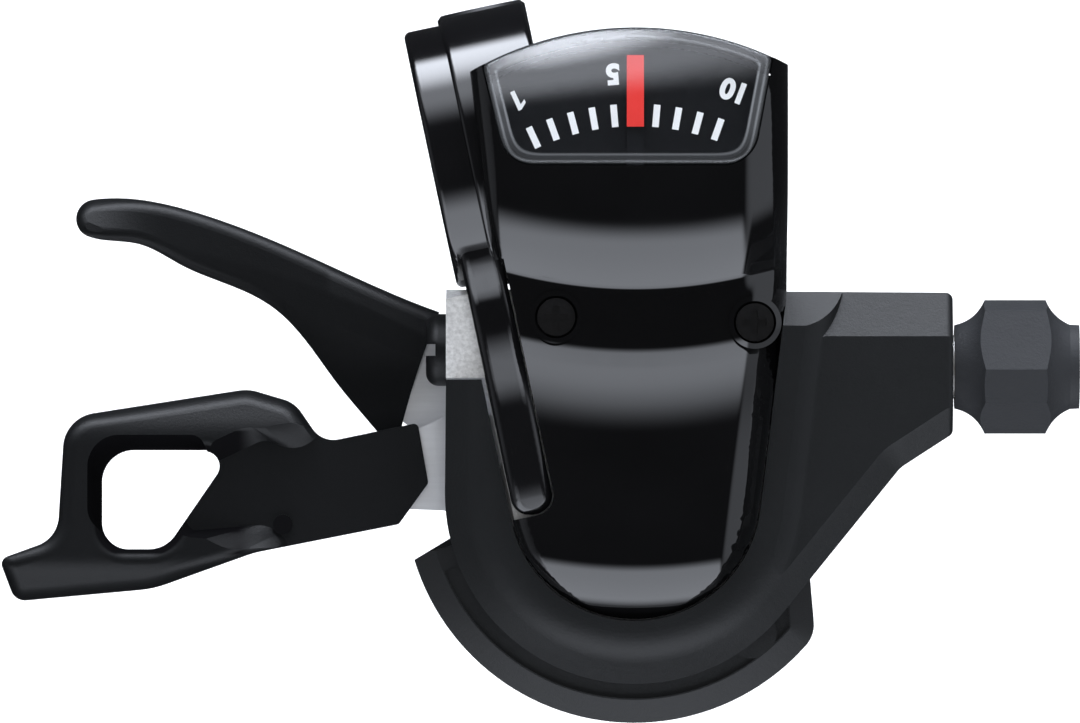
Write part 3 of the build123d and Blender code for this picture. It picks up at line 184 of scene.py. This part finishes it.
COVER_SOLID = [
    (-11.6, 64.5), (-10.6, 46.2), (-9.6, 38.7), (-8.6, 32.8), (-7.6, 28.4), (-6.6, 23.5), (-5.6, 19.5),
    (-3.6, 13.6), (-1.6, 8.0), (0.4, 2.8), (2.4, -3.0), (4.4, -8.6), (6.4, -13.6), (8.4, -17.6),
    (10.4, -19.8), (11.4, -19.3), (12.4, -16.7), (13.4, -12.5), (14.4, -6.0), (15.4, 3.7), (16.4, 17.2),
    (17.4, 34.8), (18.4, 48.0), (19.4, 55.1), (20.4, 60.4), (21.4, 60.5), (22.4, 54.2), (24.4, 40.3),
    (26.4, 24.8), (27.4, 17.5), (28.4, 12.0), (30.4, 5.0)]
COVER_SHADE = [
    (-11.6, 60.0), (-10.6, 50.0), (-8.6, 38.0), (-7.6, 29.0), (-7.0, 20.0), (-6.4, 12.0), (-5.0, 10.0),
    (-2.5, 6.0), (0.0, 2.0), (3.0, -6.0), (6.0, -14.0), (8.4, -20.0), (10.4, -24.0), (12.0, -26.0),
    (13.2, -24.0), (13.9, -12.0), (14.4, -6.0), (18.4, -2.0), (19.1, 2.0), (19.6, 44.0), (20.4, 42.0),
    (21.4, 38.0), (23.4, 26.5), (25.4, 15.0), (27.4, 8.5), (30.4, 5.0)]
REACH_START, REACH_SPAN = -12, 44  # mm that a table can cover
TILT_LOW, TILT_SPAN = -40, 120  # degrees that it can hold
SWING_R, FALL_R = 46, 80  # circles on which the side view swings and falls to both sides
ON_SKIN = (0.95, 0.985)  # how well a normal agrees with the skin's: not at all, fully
FLANK_LEAN = 32  # degrees by which the right flank is shaded as steeper
GLOSS_IOR = 1.62


def cover_tilt(along, table):
    """Tilt in degrees read from a table, as a signal."""
    stops = [((reach - REACH_START) / REACH_SPAN, (tilt - TILT_LOW) / TILT_SPAN) for reach, tilt in table]
    return ((along - REACH_START) * (1 / REACH_SPAN)).table(stops) * TILT_SPAN + TILT_LOW


def cover_normal(side, tilt):
    """Normal of the cover's skin at a distance to the side, where its side view has the given tilt."""
    slope = side.math("TANGENT", tilt * math.radians(1))
    lean = side * (slope * (1 / SWING_R) + 1 / FALL_R)
    vector = side.node("ShaderNodeCombineXYZ", {0: lean, 1: slope * -1.0, 2: 1.0})
    return side.node("ShaderNodeVectorMath", {0: vector}, operation="NORMALIZE")


def cover_shading(sheet, place):
    """Normal of the top cover: its skin is shaded with a crisp crease under the dial, a level floor
    behind it and a dark right flank, and its edges and wells lean with it."""
    x, y = flat_place(place)
    side = x - AXLE[0]
    along = y - AXLE[1] - side * side * (0.5 / SWING_R)
    solid = cover_tilt(along, COVER_SOLID)
    shade = cover_tilt(along, COVER_SHADE)
    facing = sheet.node("ShaderNodeNewGeometry", output="Normal")
    pair = {0: facing, 1: cover_normal(side, solid)}
    agreement = sheet.node("ShaderNodeVectorMath", pair, "Value", operation="DOT_PRODUCT")
    leant = leaning(sheet, "X", shade - solid, facing)
    choice = {"Factor": agreement.step(*ON_SKIN), 4: leant, 5: cover_normal(side, shade)}
    normal = sheet.node("ShaderNodeMix", choice, 1, data_type="VECTOR")
    pod = along.step(17, 19)
    pod_flank = side.step(9.7, 11.0)
    low_flank = (side - along * 0.12).step(8.6, 9.4)
    return leaning(sheet, "Y", FLANK_LEAN * (pod * pod_flank + (1 - pod) * low_flank), normal)


def gloss_plastic(name, dark, light, rough, peel, shading=None):
    """Hard gloss moulding or enamel: faint flow clouds, a wavy skin and a little haze. The normal may
    come from a shading function."""
    material, sheet, place = new_finish(name)
    cloud = noise(place, 9)
    skin = noise(place, 2.2, 1.0)
    normal = shading(sheet, place) if shading else None
    return close(material, sheet, principled(
        sheet, Base_Color=cloud.between(dark, light), Roughness=rough + 0.05 * cloud, IOR=GLOSS_IOR,
        Normal=bump(skin, peel, normal)))


# Matte plastic, metal, lens and ink

FAR_EDGE = (-49, -42)  # y at which the bowl's far edge is fully rolled, and not at all


def grain_tone(place, grain):
    """Eroded grain of a given size, and a tone from it and slow clouds."""
    fine = noise(place, grain, 4.0, 0.7)
    return fine, 0.55 * noise(place, 14) + 0.45 * fine


def grained_plastic(name, dark, light, rough, grain, depth, ior=1.40, roll=0):
    """Matte moulding: fine and coarse grain, with slow changes of tone and sheen. The far edge of the
    bowl may be shaded as rolled by a number of degrees."""
    material, sheet, place = new_finish(name)
    fine, tone = grain_tone(place, grain)
    coarse = noise(place, 5 * grain, 2.0)
    rolled = None
    if roll:
        rolled = leaning(sheet, "X", roll * flat_place(place)[1].fall(*FAR_EDGE))
    return close(material, sheet, principled(
        sheet, Base_Color=tone.between(dark, light), Roughness=rough + 0.14 * fine, IOR=ior,
        Normal=bump(fine, depth, bump(coarse, 0.8 * depth, rolled))))


def lever_crown(x, y):
    """Degrees by which the levers are shaded as crowned: the release lever's two rails, the main
    lever's tip and the face above its ridge, which runs on a parabola."""
    lower_rail = y.fall(-40.8, -37.6)
    upper_rail = y.step(-28.5, -25.0) * y.fall(-23.0, -21.0) * x.fall(-18, -14)
    tip = x.fall(-39, -30) * y.step(-14, -12)
    main_lever = y.step(-21.5, -21) + x.step(-16, -15) * y.step(-26.6, -26.2)
    out = x + 35.4
    ridge = y + 8.5 + out * 0.13 + out * out * 0.0064
    upper_face = main_lever * ridge.step(-0.4, 0.4)
    return 38 * lower_rail - 26 * upper_rail - 24 * tip - 6 * upper_face


def lever_plastic(name, dark, light, rough, grain, depth):
    """Matte moulding of the levers, shaded as crowned, with painted shade: dull black over the walls inside
    the release lever's loop and a dull black dot as the shaded recess of the rivet."""
    material, sheet, place = new_finish(name)
    fine, tone = grain_tone(place, grain)
    x, y = flat_place(place)
    skin = principled(
        sheet, Base_Color=tone.between(dark, light), Roughness=rough + 0.14 * fine, IOR=1.30,
        Normal=bump(fine, depth, leaning(sheet, "X", lever_crown(x, y))))
    facing_up = sheet.node("ShaderNodeTexCoord", output="Normal").parts()[2]
    # Painted shade: a dull black is mixed over the loop's inner walls and over a dot where the rivet's recess
    # is shaded
    in_loop = x.step(-38.6, -38.2) * x.fall(-24.0, -22.0) * y.step(-38.6, -38.2) * y.fall(-26.8, -26.5)
    painted_wall_shade = in_loop * facing_up.fall(0.78, 0.93)
    painted_rivet_shade = ((x + 19.67) ** 2 + (y + 35.57) ** 2).fall(0.85 ** 2, 1.0)
    painted_shade = diffuse(sheet, (0.004, 0.004, 0.0045))
    return close(material, sheet, blend(sheet, painted_wall_shade.math("MAXIMUM", painted_wall_shade, painted_rivet_shade), skin, painted_shade))


def bare_metal(name, dark, light, rough, along, depth):
    """Bare metal: marks stretched along one axis, tumbled mottling and a soft sheen."""
    material, sheet, place = new_finish(name)
    stretch = sheet.node("ShaderNodeMapping", {"Vector": place, "Scale": along})
    marks = noise(stretch, 0.35, 4.0)
    tone = 0.6 * marks + 0.4 * noise(place, 3)
    return close(material, sheet, principled(
        sheet, Base_Color=tone.between(dark, light), Metallic=0.7, Roughness=rough + 0.16 * marks,
        Normal=bump(marks, depth)))


def cast_metal(name, dark, light):
    """Die-cast alloy: pale and dry, with a crackled skin and small pits."""
    material, sheet, place = new_finish(name)
    skin = noise(place, 0.5, 5.0, 0.65)
    cells = sheet.node("ShaderNodeTexVoronoi", {"Vector": place, "Scale": 1 / (0.9 * MM)})
    pits = cells.fall(0.0, 0.25)
    tone = skin.step(0.25, 0.75) * (1 - 0.4 * pits)
    return close(material, sheet, principled(
        sheet, Base_Color=tone.between(dark, light), Metallic=0.35, Roughness=0.42 + 0.2 * skin,
        Normal=bump(skin - 0.5 * pits, 0.05)))


def from_line(x, y, point, normal):
    """Distance from a line, given one of its points and its normal."""
    length = math.hypot(*normal)
    return (x - point[0]) * (normal[0] / length) + (y - point[1]) * (normal[1] / length)


def lens_edges(x, y):
    """Distances from the lens's edges: from its arc, from its lower edge and from its whole outline,
    which two leaning sides and smooth corners complete."""
    (x0, y0, _), (x1, y1, _) = np.array(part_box("lens")) / MM
    arc = (y1 - PIVOT[1]) - ((x - PIVOT[0]) ** 2 + (y - PIVOT[1]) ** 2) ** 0.5
    left = from_line(x, y, (x0, 7.7), (9.35, 2.3))
    right = from_line(x, y, (x1, 8.4), (-10.05, 1.9))
    low = y - y0
    outline = low
    for edge, corner in ((left, 3.0), (right, 3.0), (arc, 0.8)):
        outline = outline.math("SMOOTH_MIN", outline, edge, corner)
    return arc, low, outline


def clear_lens(name):
    """Clear moulding: light goes straight through, the skin mirrors more at a slant and towards its
    arc, and the rim carries a painted highlight: a faint white band with two bright lines, weaker along the
    lower edge. A black line covers the dial's joint."""
    material, sheet, place = new_finish(name)
    x, y = flat_place(place)
    arc, low, outline = lens_edges(x, y)
    # Painted highlight on the rim: a faint white band with a bright line at each edge, weaker along the lower
    # edge
    rim = outline.fall(0.75, 1.0)
    outer_highlight = outline.step(0.05, 0.25) * outline.fall(0.25, 0.45)
    inner_highlight = outline.step(0.7, 0.88) * outline.fall(0.88, 1.08)
    rim_highlight = (0.03 * rim + 0.08 * outer_highlight + 0.10 * inner_highlight) * (0.5 + 0.5 * low.step(0.8, 4))
    joint = arc.step(1.2, 1.35) * arc.fall(1.7, 1.85)
    lean = arc.fall(0.5, 10.5) * (1 - 0.7 * (x - PIVOT[0]).step(-12, 8))
    wave = bump(noise(place, 3, 1.0), 0.004, leaning(sheet, "X", -19 * lean))
    slant = sheet.node("ShaderNodeFresnel", {"IOR": 1.75, "Normal": wave})
    behind = sheet.node("ShaderNodeNewGeometry", output="Backfacing")
    mirrored = slant * (1 - behind) * (0.25 + 0.75 * outline.step(0.15, 0.5))
    clear = sheet.node("ShaderNodeBsdfTransparent", {"Color": (0.95, 0.96, 0.97, 1)})
    mirror = sheet.node("ShaderNodeBsdfGlossy", {"Roughness": 0.05, "Normal": wave})
    black = diffuse(sheet, (0.006, 0.006, 0.007))
    highlight_white = diffuse(sheet, (0.75, 0.78, 0.82))
    glass = blend(sheet, mirrored, blend(sheet, joint, clear, black), mirror)
    return close(material, sheet, blend(sheet, rim_highlight, glass, highlight_white))


def dial_print(name, dark, light):
    """Ink or dyed plastic with a slightly uneven tone."""
    material, sheet, place = new_finish(name)
    cloud = noise(place, 0.6)
    return close(material, sheet, principled(
        sheet, Base_Color=cloud.between(dark, light), Roughness=0.42 + 0.12 * cloud,
        Normal=bump(cloud, 0.004)))


# Marks on bare metal: long in the axis with a small number
ALONG_X = (0.06, 1.0, 1.0)
ALONG_Y = (1.0, 0.06, 1.0)
ALONG_Z = (1.0, 1.0, 0.2)

FINISHES = {
    "gloss_black": gloss_plastic(
        "gloss_black", (0.0015, 0.0015, 0.0016), (0.003, 0.003, 0.0033), rough=0.05, peel=0.0002,
        shading=cover_shading),
    "clamp_black": gloss_plastic(
        "clamp_black", (0.002, 0.002, 0.0022), (0.004, 0.004, 0.0045), rough=0.08, peel=0.001),
    "body_black": grained_plastic(
        "body_black", (0.002, 0.0022, 0.0024), (0.010, 0.0108, 0.0115), rough=0.42, grain=0.24,
        depth=0.030, ior=1.37, roll=12),
    "base_black": grained_plastic(
        "base_black", (0.006, 0.0064, 0.0068), (0.013, 0.0137, 0.0145), rough=0.44, grain=0.26,
        depth=0.030, ior=1.38, roll=9),
    "lever_black": lever_plastic(
        "lever_black", (0.002, 0.0022, 0.0024), (0.006, 0.0064, 0.007), rough=0.36, grain=0.22,
        depth=0.024),
    "knob_black": grained_plastic(
        "knob_black", (0.013, 0.0138, 0.0155), (0.024, 0.0255, 0.0285), rough=0.55, grain=0.32,
        depth=0.05, ior=1.33),
    "drum_grey": grained_plastic(
        "drum_grey", (0.10, 0.10, 0.105), (0.17, 0.17, 0.175), rough=0.42, grain=0.3, depth=0.008),
    "plate_steel": bare_metal(
        "plate_steel", (0.60, 0.61, 0.63), (0.80, 0.81, 0.83), rough=0.42, along=ALONG_X, depth=0.004),
    "screw_steel": bare_metal(
        "screw_steel", (0.012, 0.012, 0.013), (0.035, 0.035, 0.037), rough=0.34, along=ALONG_Z,
        depth=0.004),
    "spring_steel": bare_metal(
        "spring_steel", (0.30, 0.30, 0.31), (0.46, 0.46, 0.47), rough=0.24, along=ALONG_Y, depth=0.003),
    "insert_brass": bare_metal(
        "insert_brass", (0.52, 0.36, 0.14), (0.72, 0.52, 0.22), rough=0.28, along=ALONG_Y, depth=0.004),
    "cast_grey": cast_metal("cast_grey", (0.42, 0.425, 0.43), (0.68, 0.685, 0.69)),
    "lens_clear": clear_lens("lens_clear"),
    "dial_black": dial_print("dial_black", (0.004, 0.0042, 0.005), (0.008, 0.0084, 0.0095)),
    "pointer_red": dial_print("pointer_red", (0.70, 0.035, 0.028), (0.78, 0.05, 0.042)),
}
DIAL_WHITE = dial_print("dial_white", (0.88, 0.89, 0.90), (0.96, 0.96, 0.96))

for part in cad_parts.values():
    slot = part.data.materials[0].name
    part.data.materials.clear()
    part.data.materials.append(FINISHES[slot])


# Dial print

GEAR_STEP = math.radians(16 * 0.3106)  # the needle's turn from one gear to the next
GEARS = np.arange(1, 11)
NEEDLE_GEAR = 6  # the gear at which the needle stands straight up
DIAL_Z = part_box("dial_plate")[1][2] / MM
INK = 0.03  # height of the print
TICK_WIDTH, TICK_INNER, TICK_OUTER = 0.62, 21.65, 23.75
NUMBER_SIZE, NUMBER_BOLD = 2.6, 0.13
ONE = np.array([  # outline of the number one, a stem with a slanted flag
    (-0.22, -0.95), (0.22, -0.95), (0.22, 0.95), (-0.10, 0.95), (-0.72, 0.52), (-0.72, 0.18), (-0.22, 0.48)])
BOX_FACES = np.array([(3, 2, 1, 0), (4, 5, 6, 7), (0, 1, 5, 4), (1, 2, 6, 5), (2, 3, 7, 6), (3, 0, 4, 7)])


def settle(name, mesh):
    """Gives a printed mesh its ink and lets it ride on the housing."""
    mesh.materials.clear()
    mesh.materials.append(DIAL_WHITE)
    piece = bpy.data.objects.new(name, mesh)
    bpy.context.scene.collection.objects.link(piece)
    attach(piece, "housing")


def settle_faces(name, points, faces):
    """A printed mesh from its points in mm and its faces."""
    mesh = bpy.data.meshes.new(name)
    mesh.from_pydata((points * MM).tolist(), [], faces)
    mesh.validate()
    settle(name, mesh)


def gear_angle(gear):
    """Angle of a gear's mark from straight up, positive to the left."""
    return (NEEDLE_GEAR - gear) * GEAR_STEP


def dial_ticks():
    """One slab for each gear: a box of the tick's width, length and ink height, turned about the pivot."""
    side = np.array([-1, 1, 1, -1] * 2) * TICK_WIDTH / 2
    reach = np.array([TICK_INNER, TICK_INNER, TICK_OUTER, TICK_OUTER] * 2)
    z = np.repeat([DIAL_Z, DIAL_Z + INK], 4)
    turn = gear_angle(GEARS)[:, None]
    x = PIVOT[0] + side * np.cos(turn) - reach * np.sin(turn)
    y = PIVOT[1] + side * np.sin(turn) + reach * np.cos(turn)
    points = np.stack([x, y, np.broadcast_to(z, x.shape)], axis=-1).reshape(-1, 3)
    faces = BOX_FACES[None] + 8 * np.arange(len(GEARS))[:, None, None]
    settle_faces("dial_ticks", points, faces.reshape(-1, 4).tolist())


def on_dial(flat, gear, reach):
    """Points of a printed sign moved from the origin to its gear, turned to be read from the far side."""
    turn = gear_angle(gear)
    spin = turn + math.pi
    x = PIVOT[0] - reach * math.sin(turn) + flat[:, 0] * math.cos(spin) - flat[:, 1] * math.sin(spin)
    y = PIVOT[1] + reach * math.cos(turn) + flat[:, 0] * math.sin(spin) + flat[:, 1] * math.cos(spin)
    return np.stack([x, y, DIAL_Z + INK / 2 + flat[:, 2]], axis=-1)


def dial_one(gear, reach):
    """The number one: its outline given the ink's height."""
    count = len(ONE)
    flat = np.column_stack([np.tile(ONE, (2, 1)), np.repeat([-INK / 2, INK / 2], count)])
    ring = np.arange(count)
    ahead = (ring + 1) % count
    faces = [ring[::-1].tolist(), (ring + count).tolist()]
    faces += np.stack([ring, ahead, ahead + count, ring + count], axis=-1).tolist()
    settle_faces("dial_number_1", on_dial(flat, gear, reach), faces)


def dial_number(text, gear, reach):
    """A printed number: a letter form made a mesh and moved to its gear."""
    curve = bpy.data.curves.new("dial_number_" + text, "FONT")
    curve.body = text
    curve.align_x = "CENTER"
    curve.align_y = "CENTER"
    curve.size = NUMBER_SIZE * MM
    curve.offset = NUMBER_BOLD * MM
    curve.extrude = INK / 2 * MM
    carrier = bpy.data.objects.new("carrier", curve)
    bpy.context.scene.collection.objects.link(carrier)
    drawn = carrier.evaluated_get(bpy.context.evaluated_depsgraph_get())
    mesh = bpy.data.meshes.new_from_object(drawn)
    bpy.data.objects.remove(carrier)
    flat = np.empty(3 * len(mesh.vertices))
    mesh.vertices.foreach_get("co", flat)
    points = on_dial(flat.reshape(-1, 3) / MM, gear, reach) * MM
    mesh.vertices.foreach_set("co", points.ravel())
    settle("dial_number_" + text, mesh)


dial_ticks()
dial_one(1.0, 26.5)
dial_number("5", 5.08, 26.7)
dial_number("10", 10.1, 26.7)


# Floor, studio light and camera

SET_HALF, SET_LOW, SET_HIGH = 2.2, -0.25, 1.6
FLOOR_GLOW, WALL_GLOW = 0.3, 0.9
STUDIO_COLOUR = (0.89, 0.935, 1.03, 1)
LAMP_SIZE, LAMP_POWER, LAMP_HEIGHT = 3.0, 330.0, 6.0
VIEW_WIDTH = 101.9 * MM  # width of the picture at the height of the bar's centre
VIEW_CENTRE = (4.67 * MM, -20.14 * MM)
VIEW_FROM = 2.0
SENSOR = 36.0


def stage(name, corners, faces, glow):
    """A pale sheet of the set, dull and glowing a little, clear from behind and not mirrored."""
    mesh = bpy.data.meshes.new(name)
    mesh.from_pydata(corners, [], faces)
    material, sheet, place = new_finish(name)
    tone = noise(place, 400).between((0.9, 0.9, 0.9), (0.93, 0.93, 0.93))
    front = principled(
        sheet, Base_Color=tone, Roughness=0.7, Emission_Color=(1, 1, 1, 1), Emission_Strength=glow)
    clear = sheet.node("ShaderNodeBsdfTransparent")
    behind = sheet.node("ShaderNodeNewGeometry", output="Backfacing")
    mesh.materials.append(close(material, sheet, blend(sheet, behind, front, clear)))
    piece = bpy.data.objects.new(name, mesh)
    bpy.context.scene.collection.objects.link(piece)
    piece.visible_glossy = False
    return piece


def floor():
    """A wide floor under the object and four walls round it, which only the camera sees."""
    ring = [(-SET_HALF, -SET_HALF), (SET_HALF, -SET_HALF), (SET_HALF, SET_HALF), (-SET_HALF, SET_HALF)]
    corners = [(x, y, z) for z in (SET_LOW, SET_HIGH) for x, y in ring]
    stage("floor", corners[:4], [(0, 1, 2, 3)], FLOOR_GLOW)
    walls = stage("walls", corners, [(0, 4, 5, 1), (1, 5, 6, 2), (2, 6, 7, 3), (3, 7, 4, 0)], WALL_GLOW)
    walls.visible_diffuse = False
    walls.visible_shadow = False


def studio():
    """Room light: dark overhead, below and at both ends of the bar, with a soft wall of light on the
    rider's side and a weaker one across from it, both growing brighter towards the horizon."""
    world = bpy.data.worlds.new("studio")
    world.use_nodes = True
    world.node_tree.nodes.clear()
    sheet = Signal(world.node_tree)
    x, y, z = sheet.node("ShaderNodeTexCoord", output="Generated").parts()
    lengthwise, across = x * x, y * y
    both_walls = 2.8 * across.step(0.2, 0.62)
    rider_horizon = 11.0 * y.step(0.0, 0.2) * across.step(0.72, 1.0)
    walls = (both_walls + rider_horizon) * (1 - 0.8 * lengthwise.step(0.15, 0.55))
    ends = lengthwise.step(0.3, 1.0) * (0.25 + 0.5 * x.step(-0.2, 0.2))
    light = 0.03 + z.step(-0.22, -0.02) * (walls + ends)
    back = sheet.node("ShaderNodeBackground", {"Color": STUDIO_COLOUR, "Strength": light})
    sheet.node("ShaderNodeOutputWorld", {"Surface": back})
    bpy.context.scene.world = world


def lamp():
    """A wide soft lamp high above that lights matt surfaces only, so that the gloss keeps its dark sky."""
    data = bpy.data.lights.new("lamp", "AREA")
    data.shape = "DISK"
    data.size = LAMP_SIZE
    data.energy = LAMP_POWER
    piece = bpy.data.objects.new("lamp", data)
    piece.location = (0.0, 0.0, LAMP_HEIGHT)
    piece.visible_glossy = False
    piece.visible_camera = False
    bpy.context.scene.collection.objects.link(piece)


def camera():
    """A long lens straight above the dial, with the picture's up along +Y."""
    data = bpy.data.cameras.new("camera")
    data.sensor_width = SENSOR
    data.lens = SENSOR * VIEW_FROM / VIEW_WIDTH
    data.clip_end = 10 * VIEW_FROM
    piece = bpy.data.objects.new("camera", data)
    piece.location = (*VIEW_CENTRE, VIEW_FROM)
    bpy.context.scene.collection.objects.link(piece)
    bpy.context.scene.camera = piece


floor()
studio()
lamp()
camera()
bpy.context.scene.view_settings.view_transform = "Standard"
